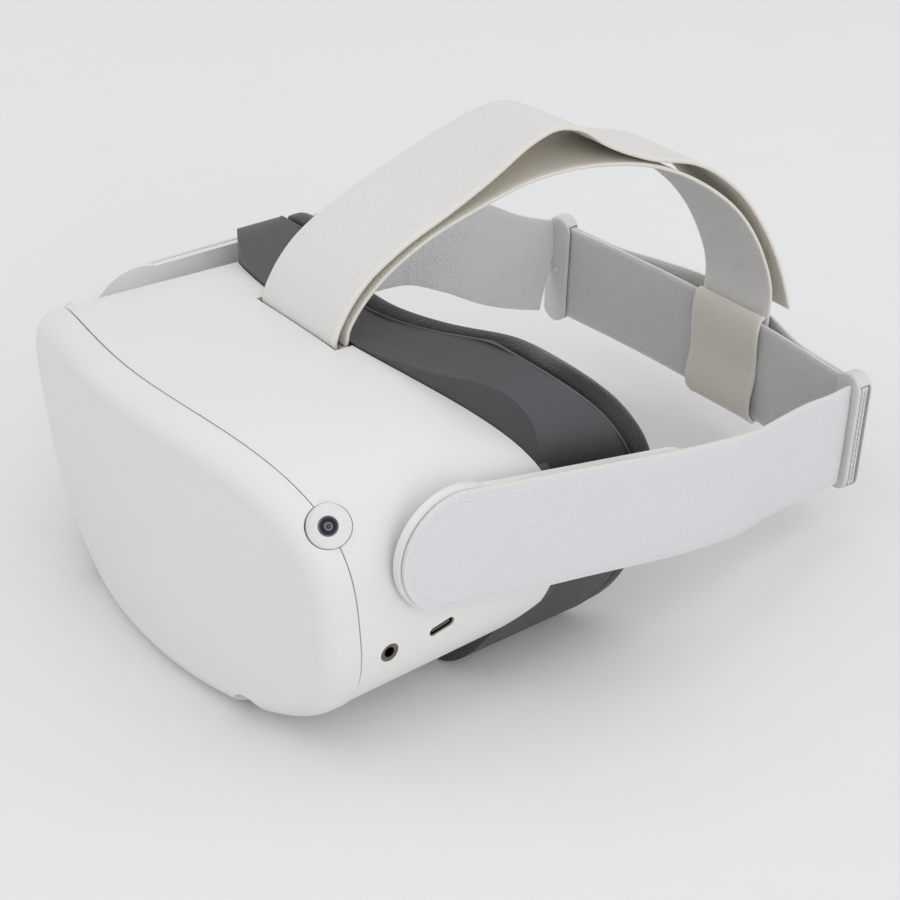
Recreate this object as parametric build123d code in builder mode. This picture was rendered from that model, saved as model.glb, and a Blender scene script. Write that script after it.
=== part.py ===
from build123d import *
import os
from math import cos, pi, radians, sin

os.makedirs("parts", exist_ok=True)

# Frame: +X is the wearer's left, +Y runs from the front cover to the back of the
# head, +Z is up. The origin is the middle of the box's underside. Millimetres.

# Overall sizes
seam_y = -120.6              # foremost point of the seam between cover and housing
cover_half_width = 90.9
cover_half_height = 51.8
visor_mid_z = cover_half_height
outline_power = 2.93         # superellipse power of the visor's outline
rear_edge_depth = 60.0       # housing rear edge behind the seam, in the middle
rear_inset_width = 1.2       # how much narrower the visor is at taper_depth
rear_inset_height = 2.7
taper_depth = 90.0
seam_crown = 0.0027          # seam depth = crown * x^2 - flattening * x^4
seam_flattening = 9.4e-8
seam_lean = 0.0685           # forward lean of the seam per mm of height
cover_bulge = 10.0           # cover thickness in front of the seam
cover_round = 8.0
rear_crown = 20.0            # plan curve of the rear edge at |x| = 90
rear_crown_fourth = 11.5
wall = 2.0
seam_gap = 0.6
part_gap = 0.4               # between bodies that stand face to face
running = 0.05               # radial clearance of a running fit

# Optics
eye_spacing = 63.5
eye_travel = 2.5
lens_radius = 21.0
barrel_radius = 24.0
barrel_front = 34.5
barrel_rear = 55.0
shroud_depth = 52.0
shroud_thick = 1.5
rail_radius = 1.5
rail_offset = 27.5
rail_depth = 44.0
rail_half_length = 71.0
gear_module = 0.8
pinion_teeth = 10
gear_depth = 6.0

# Electronics
battery_size = (56.0, 8.0, 40.0)
fan_radius = 18.0
fan_size = 42.0
fan_depth = 8.0
fan_x = 36.0
inner_layer_depth = 8.0      # front of the battery and the fan
board_depth = 22.5
board_thick = 1.5
chassis_depth = 26.0
chassis_thick = 2.0
display_depth = 30.0
display_size = (130.0, 2.5, 66.0)

# Cameras, ports and buttons
camera_radius = 6.6
camera_lens_radius = 3.0
camera_gap = 0.15
camera_upper = (82.3, 11.7, 84.3)        # x, depth, z of the bezel's front
camera_upper_aim = (0.65, -0.50, 0.57)
camera_lower = (50.0, 4.1, 5.8)
camera_lower_aim = (0.15, -0.72, -0.68)
camera_length = 9.0
jack_depth = 27.0
jack_z = 38.0
jack_bore = 1.75
jack_radius = 3.2
jack_length = 13.0
usb_depth = 46.5
usb_z = 38.8
usb_size = (9.4, 3.4)
usb_tilt = 11.0
button_size = (13.0, 4.5)
button_travel = 0.5
rocker_size = (18.0, 5.0)
rocker_x = 30.0
rocker_depth = 40.0
button_gap = 0.3

# Head strap
pivot_depth = 47.9
pivot_z = 68.4
pivot_radius = 4.0
boss_radius = 11.0
boss_face = 91.1
strap_width = 39.2
strap_thick = 1.3
strap_outer_x = 95.4
arm_inner_x = boss_face + part_gap
arm_length = 102.0
left_tilt = -10.8            # how the left arm slopes to the back
right_tilt = 0.0
arm_outer_x = strap_outer_x - strap_thick - 0.1
pivot_head = 6.5
speaker_size = (26.0, 14.0, 1.8)
speaker_reach = 44.0         # speaker's middle along the arm from the pivot
# depth and height of each side strap's middle line behind its arm
left_strap_fall = [(175, 44.3), (200, 40.4), (222, 38.0), (250, 37.4)]
right_strap_fall = [(172, 67.0), (198, 57.5), (218, 46.8), (234, 42.2), (250, 41.6)]
slider_x = 79.5
slider_depth = 236.0
slider_size = (12.0, 6.6, 47.0)
slider_slot = (41.0, 4.4)
band_z = 39.5
band_tilt = 1.5              # the rear band's right end stands higher
band_width = 40.0
band_thick = 1.2
band_slope = 0.1
band_straight_x = 50.0
band_bulge = 9.2             # how far the outer layer stands behind the inner one
crown_width = 42.0
crown_rear_near = 31.2
crown_rear_far = -3.0
bar_radius = 1.2
bar_depth = 58.6
slot_half_width = 23.0
# depth and height along the top strap's two layers
top_strap_lower_path = [
    (242.3, 57), (242.6, 70), (236, 88), (223.5, 106.5), (208, 120), (187, 131.5), (163, 137.2),
    (138, 138), (112, 133.5), (88, 126.2), (72, 117), (64.5, 109.5), (61.4, 104.5),
]
top_strap_upper_path = [
    (57, 103.8), (60.2, 110), (67.5, 118.5), (82, 127.4), (101.5, 135), (122, 143), (138, 149.2),
    (148, 151.2), (157, 149),
    (166, 142.8), (182, 135.4), (203, 129.4), (221, 116.5), (235.5, 98.5), (246.5, 79), (253.5, 61),
]

# Facial interface
# half of the interface's outline seen from behind, from the forehead to the nose
face_points = [
    (0, 101.5), (30, 102), (60, 103), (75, 101.5), (82, 94), (84, 80), (83.5, 55), (81, 28), (74, 9),
    (62, 0.8), (50, 1.0), (36, 5.5), (26, 14), (17, 25), (8.5, 32), (0, 34),
]
collar_gap = 0.8             # between the plug-in collar and the housing's inner wall
collar_depth = 56.5
face_flange = 2.0
web_thick = 3.5              # plate that stands behind the housing's rear edge
nose_half = 14.0
nose_top = 27.0
collar_nose_half = 26.0
collar_nose_top = 40.0
seat_start = 45.0            # depth where the interface's walls are first drawn
foam_thick = 9.5
foam_width = 13.0
face_wall = 3.0
face_depth = 90.0            # foam's rear face in the middle, behind the seam
face_crown = 0.0075          # brow depth = face_depth + crown * x^2
temple_depth = 140.5         # rearmost depth of the surface seen from the side
temple_z = 45.0
temple_fall = 0.0101         # fall of depth per mm^2 of height away from temple_z


def at_depth(depth):
    """Upright plane across the visor, a distance behind the seam's foremost point."""
    return Plane.XZ.offset(-(seam_y + depth))


def superellipse(half_width, half_height, steps=40):
    points = []
    for step in range(steps):
        turn = 2 * pi * step / steps
        reach = (abs(cos(turn)) ** outline_power + abs(sin(turn)) ** outline_power) ** (-1 / outline_power)
        points.append((half_width * cos(turn) * reach, visor_mid_z + half_height * sin(turn) * reach))
    return points


def visor_half_sizes(depth, inset=0.0):
    share = max(depth, 0.0) / taper_depth
    half_width = cover_half_width - rear_inset_width * share - inset
    half_height = cover_half_height - rear_inset_height * share - inset
    return half_width, half_height


def visor_oval(depth, inset=0.0):
    """The visor's outline at a depth, as a sketch."""
    with BuildSketch(Plane.XY, mode=Mode.PRIVATE) as oval:
        with BuildLine():
            Spline(*superellipse(*visor_half_sizes(depth, inset)), periodic=True)
        make_face()
    return oval.sketch


def side_wall_x(depth, z, inset=0.0):
    """How far out the visor's side wall stands at a depth and height."""
    half_width, half_height = visor_half_sizes(depth, inset)
    return half_width * (1 - abs((z - visor_mid_z) / half_height) ** outline_power) ** (1 / outline_power)


def underside_z(depth, x, inset=0.0):
    half_width, half_height = visor_half_sizes(depth, inset)
    return visor_mid_z - half_height * (1 - abs(x / half_width) ** outline_power) ** (1 / outline_power)


def seam_depth(x, z=visor_mid_z):
    return seam_crown * x**2 - seam_flattening * x**4 - seam_lean * (z - visor_mid_z)


def ahead_of_seam(offset):
    """All the space in front of the crowned seam surface, moved back by offset."""
    base_z = -20.0
    reach = 110.0
    with BuildPart(mode=Mode.PRIVATE) as space:
        with BuildSketch(Plane.XY.offset(base_z)):
            with BuildLine():
                xs = [reach * (step / 8 - 1) for step in range(17)]
                crown = Spline(*[(x, seam_y + offset + seam_depth(x, base_z)) for x in xs])
                Polyline(crown @ 1, (reach, seam_y - 80), (-reach, seam_y - 80), crown @ 0)
            make_face()
        extrude(amount=160, dir=(0, -seam_lean, 1))
    return space.part


def behind_rear_edge(offset):
    """All the space behind the housing's curved rear edge, moved back by offset."""
    reach = 110.0
    far = seam_y + 200
    corner_z = visor_mid_z - 17.8
    with BuildPart(mode=Mode.PRIVATE) as space:
        with BuildSketch(Plane.XY.offset(-20)):
            with BuildLine():
                xs = [reach * (step / 6 - 1) for step in range(13)]
                edge = Spline(*[(x, seam_y + offset + rear_edge(x)) for x in xs])
                Polyline(edge @ 1, (reach, far), (-reach, far), edge @ 0)
            make_face()
        extrude(amount=160)
        with BuildSketch(Plane.YZ.offset(-reach)):
            with BuildLine():
                start = seam_y + offset + rear_edge_depth
                sweep = Spline(
                    (start + 34, corner_z),
                    (start + 26, corner_z - 7),
                    (start + 17, corner_z - 14),
                    (start + 10, corner_z - 24),
                    (start + 4, corner_z - 40),
                )
                Polyline(sweep @ 1, (far, corner_z - 40), (far, corner_z), sweep @ 0)
            make_face()
        extrude(amount=2 * reach)
    return space.part


def rear_edge(x):
    share = abs(x) / 90
    return rear_edge_depth + rear_crown * share**2 + rear_crown_fourth * share**4


def save(piece, name):
    piece.part.label = name
    export_step(piece.part, f"parts/{name}.step")


def camera_planes():
    """Name and aiming plane of each camera, at the middle of its bezel's front."""
    levels = (
        ("upper", camera_upper, camera_upper_aim),
        ("lower", camera_lower, camera_lower_aim),
    )
    planes = {}
    for side_name, side in (("left", 1), ("right", -1)):
        for level, spot, aim in levels:
            origin = (side * spot[0], seam_y + spot[1], spot[2])
            facing = (side * aim[0], aim[1], aim[2])
            planes[f"{level}_{side_name}"] = Plane(origin=origin, z_dir=facing)
    return planes


def camera_bores():
    """The four holes that the camera bezels sit in."""
    with BuildPart(mode=Mode.PRIVATE) as bores:
        for plane in camera_planes().values():
            with BuildSketch(plane.offset(camera_length)):
                Circle(camera_radius + camera_gap)
            extrude(amount=-(2 * camera_length + part_gap))
    return bores.part


def cover_block(inset):
    """The cover's crowned plate, drawn inset from its outer skin, with a rounded rim."""
    with BuildPart(mode=Mode.PRIVATE) as block:
        with BuildSketch(at_depth(-30)):
            add(visor_oval(0, inset))
        extrude(amount=-80)
        add(ahead_of_seam(inset - cover_bulge), mode=Mode.SUBTRACT)
        fillet(block.faces().sort_by(Axis.Y)[0].edges(), cover_round - inset)
    return block.part


# Front cover: a crowned plate with a rounded rim, hollow behind.
with BuildPart() as front_cover:
    add(cover_block(0))
    add(ahead_of_seam(-seam_gap / 2), mode=Mode.INTERSECT)
    add(cover_block(wall), mode=Mode.SUBTRACT)
    # the left half is kept, and the right half is its mirror image
    split(bisect_by=Plane.YZ, keep=Keep.TOP)
    mirror(about=Plane.YZ)
    add(camera_bores(), mode=Mode.SUBTRACT)
save(front_cover, "front_cover")


# Housing: the visor's shell, open in front and behind, with every wall opening in it.
with BuildPart() as visor_housing:
    for depth in (0, taper_depth + 10):
        with BuildSketch(at_depth(depth)):
            add(visor_oval(depth))
    loft()
    with BuildSketch(Plane.YZ.offset(80)):
        with Locations((seam_y + pivot_depth, pivot_z)):
            Circle(boss_radius)
    extrude(amount=boss_face - 80)
    for depth in (0, taper_depth + 10):
        with BuildSketch(at_depth(depth)):
            add(visor_oval(depth, wall))
    loft(mode=Mode.SUBTRACT)
    add(ahead_of_seam(seam_gap / 2), mode=Mode.SUBTRACT)
    add(behind_rear_edge(0), mode=Mode.SUBTRACT)
    # the left half is kept, and the right half is its mirror image
    split(bisect_by=Plane.YZ, keep=Keep.TOP)
    mirror(about=Plane.YZ)
    # notch for the strap bar in the middle of the top rear edge
    with BuildSketch(Plane.XY.offset(visor_mid_z + 30)):
        with Locations((0, seam_y + bar_depth)):
            Rectangle(2 * slot_half_width, 2 * (bar_radius + strap_thick + 3 * part_gap))
    extrude(amount=40, mode=Mode.SUBTRACT)
    # pivot bores, jack, charging port, power button and rocker openings
    for side in (-1, 1):
        with BuildSketch(Plane.YZ.offset(side * 80)):
            with Locations((seam_y + pivot_depth, pivot_z)):
                Circle(pivot_radius)
        extrude(amount=side * 15, mode=Mode.SUBTRACT)
    with BuildSketch(Plane.YZ.offset(80)):
        with Locations((seam_y + jack_depth, jack_z)):
            Circle(jack_radius)
        with Locations(Location((seam_y + usb_depth, usb_z, 0), usb_tilt)):
            SlotOverall(usb_size[0], usb_size[1])
    extrude(amount=15, mode=Mode.SUBTRACT)
    with BuildSketch(Plane.YZ.offset(-80)):
        with Locations((seam_y + rail_depth, jack_z)):
            SlotOverall(button_size[0] + 2 * button_gap, button_size[1] + 2 * button_gap)
        with Locations((seam_y + rail_depth - 14, jack_z)):
            Circle(0.9)
    extrude(amount=-15, mode=Mode.SUBTRACT)
    with BuildSketch(Plane.XY.offset(-2)):
        with Locations((rocker_x, seam_y + rocker_depth)):
            RectangleRounded(rocker_size[0] + 2 * button_gap, rocker_size[1] + 2 * button_gap, 1.2)
    extrude(amount=12, mode=Mode.SUBTRACT)
    add(camera_bores(), mode=Mode.SUBTRACT)
save(visor_housing, "visor_housing")


# Cameras: four round bezels let into the corners of the visor, each with its lens.
for name, plane in camera_planes().items():
    with BuildPart() as camera_bezel:
        with BuildSketch(plane):
            Circle(camera_radius)
        extrude(amount=-camera_length)
        with BuildSketch(plane):
            Circle(camera_lens_radius)
        extrude(amount=-(camera_length - 2), mode=Mode.SUBTRACT)
        outer_rims = camera_bezel.edges().filter_by(GeomType.CIRCLE).filter_by(
            lambda edge: edge.radius > camera_lens_radius + 1
        )
        chamfer(outer_rims.sort_by(lambda edge: (edge.arc_center - plane.origin).length)[0], 0.3)
    save(camera_bezel, f"camera_bezel_{name}")
    with BuildPart() as camera_lens:
        with BuildSketch(plane.offset(-0.5)):
            Circle(camera_lens_radius - 0.02)
        extrude(amount=-(camera_length - 3))
    save(camera_lens, f"camera_lens_{name}")


# Electronics, from the cover towards the eyes.
with BuildPart() as battery:
    with BuildSketch(at_depth(inner_layer_depth)):
        with Locations((-fan_x, visor_mid_z)):
            RectangleRounded(battery_size[0], battery_size[2], 3)
    extrude(amount=-battery_size[1])
save(battery, "battery")

with BuildPart() as fan_housing:
    with BuildSketch(at_depth(inner_layer_depth)):
        with Locations((fan_x, visor_mid_z)):
            RectangleRounded(fan_size, fan_size, 4)
            Circle(fan_radius + 1, mode=Mode.SUBTRACT)
    extrude(amount=-fan_depth)
    with BuildSketch(at_depth(inner_layer_depth + fan_depth - 1)):
        with Locations((fan_x, visor_mid_z)):
            Circle(5)
            Rectangle(fan_size - 1, 3)
    extrude(amount=-1)
save(fan_housing, "fan_housing")

with BuildPart() as fan_rotor:
    with BuildSketch(at_depth(inner_layer_depth + 0.5)):
        with Locations((fan_x, visor_mid_z)):
            Circle(7)
            with PolarLocations(fan_radius / 2 + 3, 9):
                Rectangle(fan_radius - 6.5, 1.2, rotation=25)
    extrude(amount=-(fan_depth - 2))
save(fan_rotor, "fan_rotor")

with BuildPart() as heat_sink:
    with BuildSketch(at_depth(inner_layer_depth + fan_depth + 1)):
        with Locations((fan_x, visor_mid_z)):
            with GridLocations(4, 0, 10, 1):
                Rectangle(1.2, fan_size - 4)
    extrude(amount=-2.5)
    with BuildSketch(at_depth(inner_layer_depth + fan_depth + 3.5)):
        with Locations((fan_x, visor_mid_z)):
            Rectangle(fan_size, fan_size - 4)
    extrude(amount=-1.2)
save(heat_sink, "heat_sink")

screw_spots = [(x, visor_mid_z + z) for x in (-62, 62) for z in (-26, 26)]
with BuildPart() as main_board:
    with BuildSketch(at_depth(board_depth)):
        with Locations((0, visor_mid_z)):
            RectangleRounded(136, 64, 8)
        with Locations(*screw_spots):
            Circle(1.2, mode=Mode.SUBTRACT)
    extrude(amount=-board_thick)
    with BuildSketch(at_depth(board_depth - 1)):
        with Locations((0, visor_mid_z), (-34, visor_mid_z + 12), (-40, visor_mid_z - 16)):
            RectangleRounded(14, 14, 1)
    extrude(amount=-1)
save(main_board, "main_board")

shaft_z = 13.0
with BuildPart() as mid_chassis:
    with BuildSketch(at_depth(chassis_depth)):
        with Locations((0, visor_mid_z)):
            RectangleRounded(148, 84, 20)
            RectangleRounded(96, 40, 10, mode=Mode.SUBTRACT)
        with Locations(*screw_spots):
            Circle(1.05, mode=Mode.SUBTRACT)
    extrude(amount=-chassis_thick)
    with BuildSketch(at_depth(board_depth + board_thick)):
        with Locations(*screw_spots):
            Circle(2.4)
            Circle(1.05, mode=Mode.SUBTRACT)
    extrude(amount=-(chassis_depth - board_depth - board_thick))
    # rail posts and the pinion's spindle
    with BuildSketch(at_depth(chassis_depth + chassis_thick)):
        with GridLocations(2 * (rail_half_length - 2), 2 * rail_offset, 2, 2):
            with Locations((0, visor_mid_z)):
                Rectangle(4, 7)
    extrude(amount=-(rail_depth + 3.5 - chassis_depth - chassis_thick))
    for side in (-1, 1):
        with BuildSketch(Plane.YZ.offset(side * (rail_half_length - 5))):
            with Locations(*[(seam_y + rail_depth, visor_mid_z + z) for z in (-rail_offset, rail_offset)]):
                Circle(rail_radius)
        extrude(amount=side * 5, mode=Mode.SUBTRACT)
    with BuildSketch(at_depth(chassis_depth + chassis_thick)):
        with Locations((0, shaft_z)):
            Circle(1.5)
    extrude(amount=-(rail_depth + gear_depth / 2 + 0.5 - chassis_depth - chassis_thick))
save(mid_chassis, "mid_chassis")

with BuildPart() as board_screws:
    with BuildSketch(at_depth(board_depth - 1.4)):
        with Locations(*screw_spots):
            Circle(2.2)
    extrude(amount=-1.4)
    with BuildSketch(at_depth(board_depth)):
        with Locations(*screw_spots):
            Circle(1.0)
    extrude(amount=-(chassis_depth + chassis_thick - board_depth))
    with BuildSketch(at_depth(board_depth - 1.4)):
        with Locations(*screw_spots):
            RegularPolygon(0.8, 6)
    extrude(amount=-0.8, mode=Mode.SUBTRACT)
save(board_screws, "board_screws")

with BuildPart() as display_panel:
    with BuildSketch(at_depth(display_depth)):
        with Locations((0, visor_mid_z + 1)):
            RectangleRounded(display_size[0], display_size[2], 4)
    extrude(amount=-display_size[1])
save(display_panel, "display_panel")

for name, side in (("rail_upper", 1), ("rail_lower", -1)):
    with BuildPart() as rail:
        with BuildSketch(Plane.YZ.offset(-rail_half_length + 1)):
            with Locations((seam_y + rail_depth, visor_mid_z + side * rail_offset)):
                Circle(rail_radius)
        extrude(amount=2 * rail_half_length - 2)
    save(rail, name)


# Lens carriages: each eye has a barrel that runs on the two rails, a lens, and a rack.
def tooth(pitch_width, root_drop, tip_rise, slope=0.36):
    """Half-profile points of a straight-sided tooth, along the pitch line and out of it."""
    root_half = pitch_width / 2 + root_drop * slope
    tip_half = pitch_width / 2 - tip_rise * slope
    return [(-root_half, -root_drop), (-tip_half, tip_rise), (tip_half, tip_rise), (root_half, -root_drop)]


pitch = pi * gear_module
tooth_width = pitch / 2 - 0.3
pinion_pitch_radius = gear_module * pinion_teeth / 2
rack_teeth = 6
lug_half = 4.5
lug_reach = rail_offset + rail_radius + 2

for eye, side in (("left", 1), ("right", -1)):
    eye_x = side * eye_spacing / 2
    with BuildPart() as lens_barrel:
        with BuildSketch(at_depth(barrel_front)):
            with Locations((eye_x, visor_mid_z)):
                Circle(barrel_radius)
                Circle(lens_radius - 2, mode=Mode.SUBTRACT)
        extrude(amount=-(barrel_rear - barrel_front))
        with BuildSketch(at_depth(rail_depth - 3)):
            with Locations((eye_x, visor_mid_z)):
                Rectangle(2 * lug_half, 2 * lug_reach)
                Circle(barrel_radius - 1, mode=Mode.SUBTRACT)
        extrude(amount=-6)
        with BuildSketch(at_depth(barrel_rear - 6)):
            with Locations((eye_x, visor_mid_z)):
                Circle(lens_radius + running)
        extrude(amount=-6, mode=Mode.SUBTRACT)
        with BuildSketch(Plane.YZ.offset(eye_x - 10)):
            with Locations(*[(seam_y + rail_depth, visor_mid_z + z) for z in (-rail_offset, rail_offset)]):
                Circle(rail_radius + running)
        extrude(amount=20, mode=Mode.SUBTRACT)
    save(lens_barrel, f"lens_barrel_{eye}")
    with BuildPart() as lens:
        with BuildSketch(Plane.XY.offset(visor_mid_z)):
            with BuildLine():
                foot = (eye_x, seam_y + barrel_rear - 7.5)
                front = ThreePointArc(
                    (eye_x - lens_radius, seam_y + barrel_rear - 5),
                    foot,
                    (eye_x + lens_radius, seam_y + barrel_rear - 5),
                )
                Line(front @ 1, (eye_x + lens_radius, seam_y + barrel_rear - 3))
                ThreePointArc(
                    (eye_x + lens_radius, seam_y + barrel_rear - 3),
                    (eye_x, seam_y + barrel_rear + 2),
                    (eye_x - lens_radius, seam_y + barrel_rear - 3),
                )
                Line((eye_x - lens_radius, seam_y + barrel_rear - 3), front @ 0)
            make_face()
            with Locations((eye_x - lens_radius, seam_y + barrel_rear)):
                Rectangle(2 * lens_radius, 30, mode=Mode.SUBTRACT)
        revolve(axis=Axis((eye_x, 0, visor_mid_z), (0, 1, 0)))
    save(lens, f"lens_{eye}")
    line_z = shaft_z + side * pinion_pitch_radius
    back_z = line_z + side * gear_module * 1.2
    lug_end_z = visor_mid_z - lug_reach
    with BuildPart() as rack:
        with BuildSketch(at_depth(rail_depth - gear_depth / 2)):
            for step in range(rack_teeth + 1):
                middle = (step - rack_teeth / 2) * pitch + (pitch / 2 if rack_teeth % 2 == 0 else 0.0)
                with Locations((middle, line_z)):
                    Polygon(*[(u, -side * v) for u, v in tooth(tooth_width, 1.2, 0.5)], align=None)
            arm_end = eye_x + side * 3
            with Locations(((arm_end - side * 9) / 2, back_z + side * 1.4)):
                Rectangle(abs(arm_end) + 9, 2.8)
            with Locations((eye_x, (back_z + lug_end_z) / 2)):
                Rectangle(6, abs(lug_end_z - back_z))
        extrude(amount=-gear_depth)
    save(rack, f"rack_{eye}")

with BuildPart() as spacing_pinion:
    with BuildSketch(at_depth(rail_depth - gear_depth / 2)):
        with Locations((0, shaft_z)):
            Circle(pinion_pitch_radius - gear_module)
            with PolarLocations(pinion_pitch_radius, pinion_teeth, start_angle=90):
                Polygon(*[(v, u) for u, v in tooth(tooth_width, 1.0, 0.6)], align=None)
            Circle(1.5 + running, mode=Mode.SUBTRACT)
    extrude(amount=-gear_depth)
save(spacing_pinion, "spacing_pinion")

# Shroud: the inner face around the lenses, with a slot for each barrel's travel.
with BuildPart() as rear_shroud:
    with BuildSketch(at_depth(shroud_depth)):
        add(visor_oval(shroud_depth, wall + 0.35))
        with Locations((-eye_spacing / 2, visor_mid_z), (eye_spacing / 2, visor_mid_z)):
            SlotCenterToCenter(2 * (eye_travel + 0.5), 2 * (barrel_radius + 0.6), mode=Mode.SUBTRACT)
        with Locations((0, visor_mid_z + 20)):
            SlotOverall(6, 3, mode=Mode.SUBTRACT)
    extrude(amount=-shroud_thick)
save(rear_shroud, "rear_shroud")

with BuildPart() as proximity_window:
    with BuildSketch(at_depth(shroud_depth - 1)):
        with Locations((0, visor_mid_z + 20)):
            SlotOverall(5.9, 2.9)
    extrude(amount=-(shroud_thick + 1))
save(proximity_window, "proximity_window")


# Ports on the left side wall.
jack_face = side_wall_x(jack_depth, jack_z)
with BuildPart() as headphone_jack:
    with BuildSketch(Plane.YZ.offset(jack_face - jack_length)):
        with Locations((seam_y + jack_depth, jack_z)):
            Circle(jack_radius - 0.02)
            Circle(jack_bore, mode=Mode.SUBTRACT)
    extrude(amount=jack_length - 0.2)
    with BuildSketch(Plane.YZ.offset(jack_face - jack_length - 1)):
        with Locations((seam_y + jack_depth, jack_z)):
            Rectangle(7.4, 7.4)
    extrude(amount=1)
save(headphone_jack, "headphone_jack")

usb_face = side_wall_x(usb_depth, usb_z)
with BuildPart() as charging_port:
    with BuildSketch(Plane.YZ.offset(usb_face - 8)):
        with Locations(Location((seam_y + usb_depth, usb_z, 0), usb_tilt)):
            SlotOverall(usb_size[0] - 0.05, usb_size[1] - 0.05)
            SlotOverall(usb_size[0] - 0.9, usb_size[1] - 0.9, mode=Mode.SUBTRACT)
            Rectangle(6.6, 0.7)
    extrude(amount=7.3)
    with BuildSketch(Plane.YZ.offset(usb_face - 9)):
        with Locations(Location((seam_y + usb_depth, usb_z, 0), usb_tilt)):
            SlotOverall(usb_size[0] - 0.05, usb_size[1] - 0.05)
    extrude(amount=1)
save(charging_port, "charging_port")

# Power button and its light on the right side wall.
button_depth = rail_depth
button_face = side_wall_x(button_depth, jack_z)
with BuildPart() as power_button:
    with BuildSketch(Plane.YZ.offset(-(button_face - wall - 1.6))):
        with Locations((seam_y + button_depth, jack_z)):
            SlotOverall(*button_size)
    extrude(amount=-(wall + 2.2))
    fillet(power_button.faces().sort_by(Axis.X)[0].edges(), 0.4)
    with BuildSketch(Plane.YZ.offset(-(button_face - wall - 2.8))):
        with Locations((seam_y + button_depth, jack_z)):
            SlotOverall(button_size[0] + 2, button_size[1] + 2)
    extrude(amount=-1.2)
save(power_button, "power_button")

with BuildPart() as status_light:
    with BuildSketch(Plane.YZ.offset(-(button_face - 5))):
        with Locations((seam_y + button_depth - 14, jack_z)):
            Circle(0.88)
    extrude(amount=-5)
save(status_light, "status_light")

# Volume rocker on the underside, rocking on a cross pin.
rocker_face = underside_z(rocker_depth, rocker_x)
pin_z = rocker_face + wall + 1.6
with BuildPart() as volume_rocker:
    with BuildSketch(Plane.XY.offset(rocker_face - 0.4)):
        with Locations((rocker_x, seam_y + rocker_depth)):
            RectangleRounded(rocker_size[0], rocker_size[1], 1)
    extrude(amount=wall + 0.4)
    with BuildSketch(Plane.XY.offset(rocker_face + wall)):
        with Locations((rocker_x, seam_y + rocker_depth)):
            Rectangle(5, rocker_size[1])
    extrude(amount=3)
    with BuildSketch(Plane.XZ.offset(-(seam_y + rocker_depth - 10))):
        with Locations((rocker_x, pin_z)):
            Circle(0.8 + running)
    extrude(amount=-20, mode=Mode.SUBTRACT)
save(volume_rocker, "volume_rocker")

with BuildPart() as rocker_pin:
    with BuildSketch(Plane.XZ.offset(-(seam_y + rocker_depth - 5))):
        with Locations((rocker_x, pin_z)):
            Circle(0.8)
    extrude(amount=-10)
save(rocker_pin, "rocker_pin")

# Strap bar across the notch in the housing's top rear edge.
bar_z = visor_mid_z + visor_half_sizes(bar_depth)[1] - wall / 2
with BuildPart() as strap_bar:
    with BuildSketch(Plane.YZ.offset(-slot_half_width)):
        with Locations((seam_y + bar_depth, bar_z)):
            Circle(bar_radius)
    extrude(amount=2 * slot_half_width)
save(strap_bar, "strap_bar")


# Pivot pins: fixed in the housing's bosses, with the arms turning on them.
for name, side in (("left", 1), ("right", -1)):
    with BuildPart() as pivot_pin:
        pin_inner = side_wall_x(pivot_depth, pivot_z + pivot_radius, wall) - 0.5
        for start, end, radius in (
            (pin_inner, arm_outer_x - 1, pivot_radius),
            (arm_outer_x - 1.1, arm_outer_x - 0.05, pivot_head),
        ):
            with BuildSketch(Plane.YZ.offset(side * start)):
                with Locations((seam_y + pivot_depth, pivot_z)):
                    Circle(radius)
            extrude(amount=side * (end - start))
    save(pivot_pin, f"pivot_pin_{name}")


# Head strap. Each side has a stiff arm on the pivot, a speaker in the arm, and a
# woven strap over the arm that runs on to the buckle at the back.
def arm_plane(side, x, tilt):
    return Plane(
        origin=(side * x, seam_y + pivot_depth, pivot_z),
        x_dir=(0, cos(radians(tilt)), sin(radians(tilt))),
        z_dir=(1, 0, 0),
    )


def strap_side_view(tilt, fall):
    """A side strap's outline seen from the side, as a block right across the object."""
    start = (seam_y + pivot_depth, pivot_z)
    heading = (cos(radians(tilt)), sin(radians(tilt)))
    end = (start[0] + arm_length * heading[0], start[1] + arm_length * heading[1])
    with BuildPart(mode=Mode.PRIVATE) as view:
        with BuildSketch(Plane.YZ.offset(-120)):
            with BuildLine():
                Line(start, end)
                Spline(
                    end,
                    *[(seam_y + depth, z) for depth, z in fall],
                    tangents=[heading, (1, 0)],
                )
            trace(line_width=strap_width)
            with Locations(start):
                Circle(strap_width / 2)
        extrude(amount=240)
    return view.part


def band_y(x):
    """Middle of the two rear layers, where they run straight."""
    return seam_y + slider_depth + band_slope * (slider_x - abs(x))


band_plane = Plane(
    origin=(0, 0, band_z),
    x_dir=(cos(radians(band_tilt)), 0, -sin(radians(band_tilt))),
    z_dir=(sin(radians(band_tilt)), 0, cos(radians(band_tilt))),
)
sides = (("left", 1, left_tilt, left_strap_fall), ("right", -1, right_tilt, right_strap_fall))

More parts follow.
